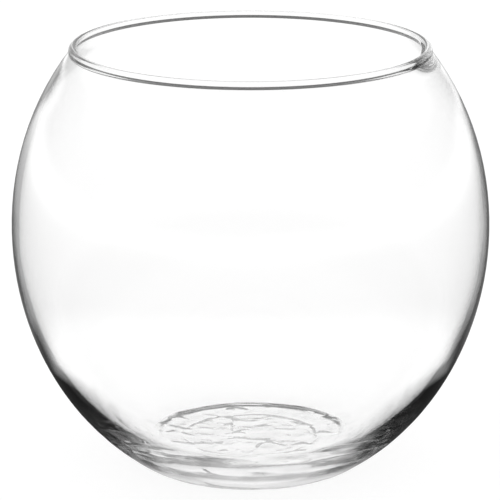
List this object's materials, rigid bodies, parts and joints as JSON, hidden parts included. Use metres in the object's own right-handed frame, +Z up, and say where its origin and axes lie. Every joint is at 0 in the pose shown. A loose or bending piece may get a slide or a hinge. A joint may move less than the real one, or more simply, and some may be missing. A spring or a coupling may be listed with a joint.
{
  "type": "glass ball vase",
  "caption": "Clear blown-glass ball vase, one piece, with a wide open mouth, a fire-polished rim and a heavy base on a flat bearing ring; holds water, stems or a display.",
  "frame": {"origin": "on the table under the centre of the foot", "axes": "+Z up along the vase's axis of revolution, -Y towards the viewer of the picture"},
  "size_m": [0.18, 0.18, 0.1608],
  "materials": {
    "clear_glass": "clear and colourless, fire-polished, with chill wrinkles under the base"
  },
  "bodies": {
    "root": {"glass_bowl": "clear_glass"}
  },
  "joints": []
}
